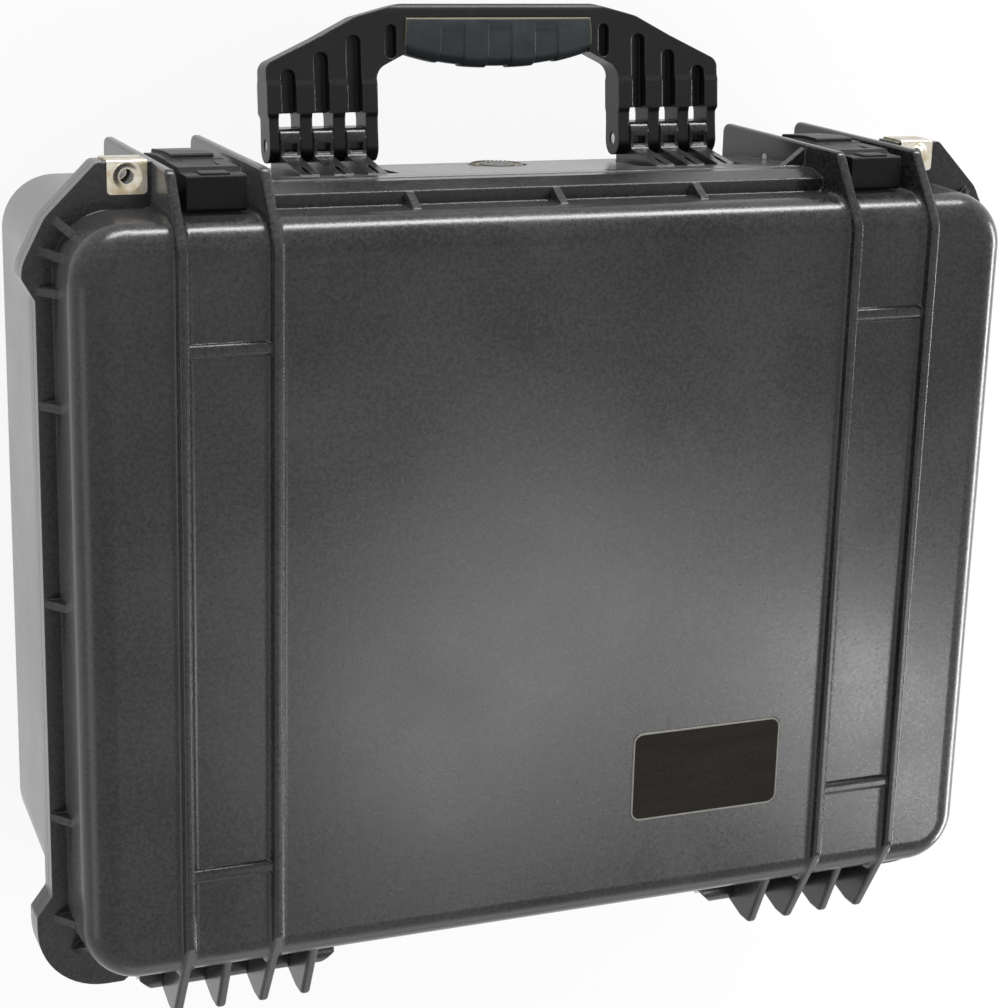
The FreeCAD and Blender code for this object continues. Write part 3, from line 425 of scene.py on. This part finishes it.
def pressed_clip(name, node, eye, hole, outward):
    """Clip as one sheet: flat over the boss, dished round the hole, bent over the front edge."""
    low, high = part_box(node)
    outside = high[2] if outward > 0 else low[2]
    flange = abs(high[2] - low[2])
    flat = high[1] - low[1] - clip_bend
    bend = math.pi / 2 * clip_bend
    rows = round((flat + bend + flange - clip_bend) / clip_cell)
    across = round((high[0] - low[0]) / clip_cell)
    spots, keep = [], []
    for row in range(rows + 1):
        along = (flat + bend + flange - clip_bend) * row / rows
        turn = min(max((along - flat) / clip_bend, 0.0), math.pi / 2)
        y = high[1] - min(along, flat) - clip_bend * math.sin(turn)
        sink = clip_bend * (1 - math.cos(turn)) + max(along - flat - bend, 0.0)
        missing = max(clip_corner - along, 0.0)
        inset = clip_corner - math.sqrt(clip_corner ** 2 - missing ** 2)
        for column in range(across + 1):
            x = low[0] + inset + (high[0] - low[0] - 2 * inset) * column / across
            reach = Vector((x - eye[0], y - eye[1]))
            if abs(reach.length - hole) < 0.55 * clip_cell:
                reach = reach.normalized() * hole
            dish = dish_depth * (1 - smooth_step(reach.length, hole, dish_reach)) if turn == 0 else 0.0
            spots.append((eye[0] + reach.x, eye[1] + reach.y, outside - outward * (sink + dish)))
            keep.append(reach.length > hole + 0.1 * clip_cell)
    faces = []
    for row in range(rows):
        for column in range(across):
            a = row * (across + 1) + column
            ring = (a, a + across + 1, a + across + 2, a + 1)
            if any(keep[index] for index in ring):
                faces.append(ring if outward > 0 else ring[::-1])
    mesh = bpy.data.meshes.new(name)
    mesh.from_pydata(spots, [], faces)
    sheet = bpy.data.objects.new(name + "_sheet", mesh)
    thick = sheet.modifiers.new("thickness", "SOLIDIFY")
    thick.thickness = clip_sheet
    thick.offset = -1.0
    piece = made_mesh(name, sheet)
    piece.data.set_sharp_from_angle(angle=clip_crease)
    return piece


eyes = {mount["name"]: mount for mount in frame["record"]["mounts"]
        if mount["name"].startswith("padlock_eye")}
for side in ("left", "right"):
    eye = eyes["padlock_eye_" + side]
    hole = eye["dims"]["r_mm"] * MM
    for half, outward in (("lid", 1), ("base", -1)):
        node = "padlock_clip_" + half + "_" + side
        clip = pressed_clip("clip_" + half + "_" + side, node, eye["pos_m"], hole, outward)
        dressed(clip, clip_steel, half)
        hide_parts(node)


# Pressure valve: a nylon body screwed through the shelf from outside, with a capped face ringed by
# small teeth, a rubber ring under it, a porous membrane inside and a nut on the inner side.
teeth_count = 36
tooth_length = 2.2 * MM
tooth_width = 0.8 * MM
tooth_height = 0.5 * MM
tooth_stand = 0.1 * MM
teeth_inset = 1.6 * MM
valve_low, valve_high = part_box("valve_body")
valve_plastic = moulded(
    "valve_plastic", coloured(0.050, 0.044, 0.022), coloured(0.085, 0.075, 0.040),
    coloured(0.20, 0.18, 0.10), 0.34, edge=0.4, mottle_size=1.2, grain_depth=0.03)
painted(valve_plastic, "valve_body", "valve_nut")
cap_plastic = moulded(
    "cap_plastic", coloured(0.012, 0.012, 0.011), coloured(0.022, 0.022, 0.020),
    coloured(0.08, 0.08, 0.075), 0.36, edge=0.4, mottle_size=1.0, grain_depth=0.03)
painted(cap_plastic, "valve_cap")
ring = bpy.data.node_groups.new("ring_of_teeth", "GeometryNodeTree")
ring.interface.new_socket("Geometry", in_out="INPUT", socket_type="NodeSocketGeometry")
for name, kind in (("Count", "NodeSocketInt"), ("Radius", "NodeSocketFloat"), ("Tooth", "NodeSocketVector"),
                   ("Material", "NodeSocketMaterial")):
    ring.interface.new_socket(name, in_out="INPUT", socket_type=kind)
ring.interface.new_socket("Geometry", in_out="OUTPUT", socket_type="NodeSocketGeometry")
entry = ring.nodes.new("NodeGroupInput").outputs
circle = ring.nodes.new("GeometryNodeMeshCircle")
ring.links.new(entry["Count"], circle.inputs["Vertices"])
ring.links.new(entry["Radius"], circle.inputs["Radius"])
tooth = ring.nodes.new("GeometryNodeMeshCube")
ring.links.new(entry["Tooth"], tooth.inputs["Size"])
face_out = ring.nodes.new("FunctionNodeAlignRotationToVector")
face_out.axis = "X"
ring.links.new(ring.nodes.new("GeometryNodeInputPosition").outputs[0], face_out.inputs["Vector"])
place_teeth = ring.nodes.new("GeometryNodeInstanceOnPoints")
ring.links.new(circle.outputs[0], place_teeth.inputs["Points"])
ring.links.new(tooth.outputs[0], place_teeth.inputs["Instance"])
ring.links.new(face_out.outputs[0], place_teeth.inputs["Rotation"])
real = ring.nodes.new("GeometryNodeRealizeInstances")
ring.links.new(place_teeth.outputs[0], real.inputs[0])
paint = ring.nodes.new("GeometryNodeSetMaterial")
ring.links.new(real.outputs[0], paint.inputs["Geometry"])
ring.links.new(entry["Material"], paint.inputs["Material"])
ring.links.new(paint.outputs[0], ring.nodes.new("NodeGroupOutput").inputs[0])
holder = bpy.data.objects.new("valve_teeth_holder", bpy.data.meshes.new("valve_teeth_holder"))
grow = holder.modifiers.new("teeth", "NODES")
grow.node_group = ring
wanted = {"Count": teeth_count, "Radius": (valve_high[0] - valve_low[0]) / 2 - teeth_inset,
          "Tooth": (tooth_length, tooth_width, tooth_height), "Material": valve_plastic}
for item in ring.interface.items_tree:
    if item.in_out == "INPUT" and item.name in wanted:
        grow[item.identifier] = wanted[item.name]
teeth = made_mesh("valve_teeth", holder)
turned = Matrix.Translation((
    (valve_low[0] + valve_high[0]) / 2, valve_low[1] - tooth_stand, (valve_low[2] + valve_high[2]) / 2))
teeth.data.transform(turned @ Matrix.Rotation(math.radians(90), 4, "X"))
for face in teeth.data.polygons:
    face.use_smooth = False
dressed(teeth, valve_plastic, "base")
membrane, start = new_finish("membrane")
place = object_place(start)
fibres = noise(place, 2400.0, 4.0, 0.7)
shader = start.node("BsdfPrincipled", {}, {
    "Base Color": fibres.step(0.3, 0.7).mix(coloured(0.62, 0.62, 0.60), coloured(0.80, 0.80, 0.78)),
    "Roughness": (0.7 + 0.2 * fibres).clamped(), "Normal": bump(fibres, 0.03 * MM)})
start.node("OutputMaterial", {}, {"Surface": shader})
painted(membrane, "valve_membrane")


# Seals: soft black rubber, the long ring pressed into the groove of the lid and the small one
# under the head of the valve.
seal_rubber = moulded(
    "seal_rubber", coloured(0.010, 0.010, 0.010), coloured(0.022, 0.022, 0.022),
    coloured(0.05, 0.05, 0.05), 0.62, edge=0.3, mottle_size=1.0, grain_depth=0.05)
painted(seal_rubber, "lid_seal", "valve_seal")


# Pins: drawn stainless rod, pressed into the shells, latches and brackets. The drawing die leaves
# fine lines along their length.
stainless, start = new_finish("stainless")
place = object_place(start)
lines = noise(place.node("Mapping", {}, {"Vector": place, "Scale": (0.06, 1.0, 1.0)}), 3200.0, 2.0)
stain = noise(place, 120.0, 4.0)
shader = start.node("BsdfPrincipled", {}, {
    "Base Color": stain.step(0.35, 0.7).mix(coloured(0.55, 0.55, 0.54), coloured(0.42, 0.41, 0.39)),
    "Roughness": (0.22 + 0.15 * stain + 0.12 * lines).clamped(),
    "Metallic": 1.0, "Normal": bump(lines, 0.01 * MM)})
start.node("OutputMaterial", {}, {"Surface": shader})
for side in ("left", "right"):
    painted(stainless, "hinge_pin_" + side, "latch_pin_" + side, "lever_pin_" + side, "handle_pin_" + side)


# Stage: the case lies lid up on a pale floor under an even sky, with soft lamps for the gloss. The
# camera looks down on it at the angle of the photograph, where it stands on its hinge edge.
floor_reach = 60.0
floor_glow = 0.88
plain_light = 0.7


def background_rays(start):
    """1 for rays that show the background: seen by the camera, mirrored or through glass."""
    camera_ray = start.node("LightPath", {}, {}, 0)
    glossy_ray = start.node("LightPath", {}, {}, 3)
    through_ray = start.node("LightPath", {}, {}, 6)
    return start.math("MAXIMUM", start.math("MAXIMUM", camera_ray, glossy_ray), through_ray)


floor_mesh = bpy.data.meshes.new("floor")
floor_corners = [(x * floor_reach, y * floor_reach, 0) for x, y in ((-1, -1), (1, -1), (1, 1), (-1, 1))]
floor_mesh.from_pydata(floor_corners, [], [(0, 1, 2, 3)])
floor = bpy.data.objects.new("floor", floor_mesh)
bpy.context.scene.collection.objects.link(floor)
floor_paper, start = new_finish("floor_paper")
seen = background_rays(start)
paper = start.node("BsdfDiffuse", {}, {"Color": coloured(0.86, 0.86, 0.86)})
glow = start.node("Emission", {}, {"Color": coloured(1, 1, 1), "Strength": 1.0})
both = start.node("MixShader", {}, {0: seen * floor_glow, 1: paper, 2: glow})
start.node("OutputMaterial", {}, {"Surface": both})
floor_mesh.materials.append(floor_paper)

world = bpy.data.worlds.new("studio")
bpy.context.scene.world = world
world.use_nodes = True
world.node_tree.nodes.clear()
start = Field(world.node_tree)
seen = background_rays(start)
strength = plain_light + (1 - plain_light) * seen
sky = start.node("Background", {}, {"Color": coloured(1, 1, 1), "Strength": strength})
start.node("OutputWorld", {}, {"Surface": sky})


def softbox(name, place, aim, width, height, watts):
    lamp = bpy.data.lights.new(name, "AREA")
    lamp.shape = "RECTANGLE"
    lamp.size = width
    lamp.size_y = height
    lamp.energy = watts
    stand = bpy.data.objects.new(name, lamp)
    bpy.context.scene.collection.objects.link(stand)
    stand.matrix_world = Matrix.Translation(place) @ (
        Vector(aim) - Vector(place)).to_track_quat("-Z", "Y").to_matrix().to_4x4()


softbox("lamp_over", place=(-1.51, 1.02, 2.2), aim=(-0.1, 0, 0.2), width=0.2, height=0.5, watts=7.2)
softbox("lamp_fill", place=(-0.82, 0.85, 2.3), aim=(0, 0, 0.2), width=0.6, height=0.34, watts=5)
softbox("lamp_top", place=(-0.3, -2.4, 0.27), aim=(0, 0, 0.18), width=2.6, height=0.44, watts=100)
softbox("lamp_right", place=(-1.3, 0.3, 0.2), aim=(0, 0.05, 0.2), width=1.4, height=0.18, watts=14)
softbox("lamp_back", place=(-0.5, 2.2, 0.6), aim=(0, 0, 0.18), width=2.0, height=0.8, watts=5)
softbox("lamp_left", place=(2.0, 0.6, 0.5), aim=(0.1, 0, 0.2), width=1.0, height=0.7, watts=3)

yaw = 0.38781
pitch = 0.27582
roll = 0.02676
viewpoint = Vector((455.88, -356.86, 1230.83)) * MM
ahead = Vector((-math.sin(yaw) * math.cos(pitch), math.sin(pitch), -math.cos(yaw) * math.cos(pitch)))
level = ahead.cross(Vector((0, -1, 0))).normalized()
rise = level.cross(ahead)
across = math.cos(roll) * level + math.sin(roll) * rise
upward = math.cos(roll) * rise - math.sin(roll) * level
view = bpy.data.cameras.new("camera")
view.sensor_width = 36.0
view.lens = 83.36
camera = bpy.data.objects.new("camera", view)
bpy.context.scene.collection.objects.link(camera)
facing = Matrix((across, upward, -ahead)).transposed().to_4x4()
camera.matrix_world = Matrix.Translation(viewpoint) @ facing
bpy.context.scene.camera = camera
bpy.context.scene.view_settings.view_transform = "Standard"
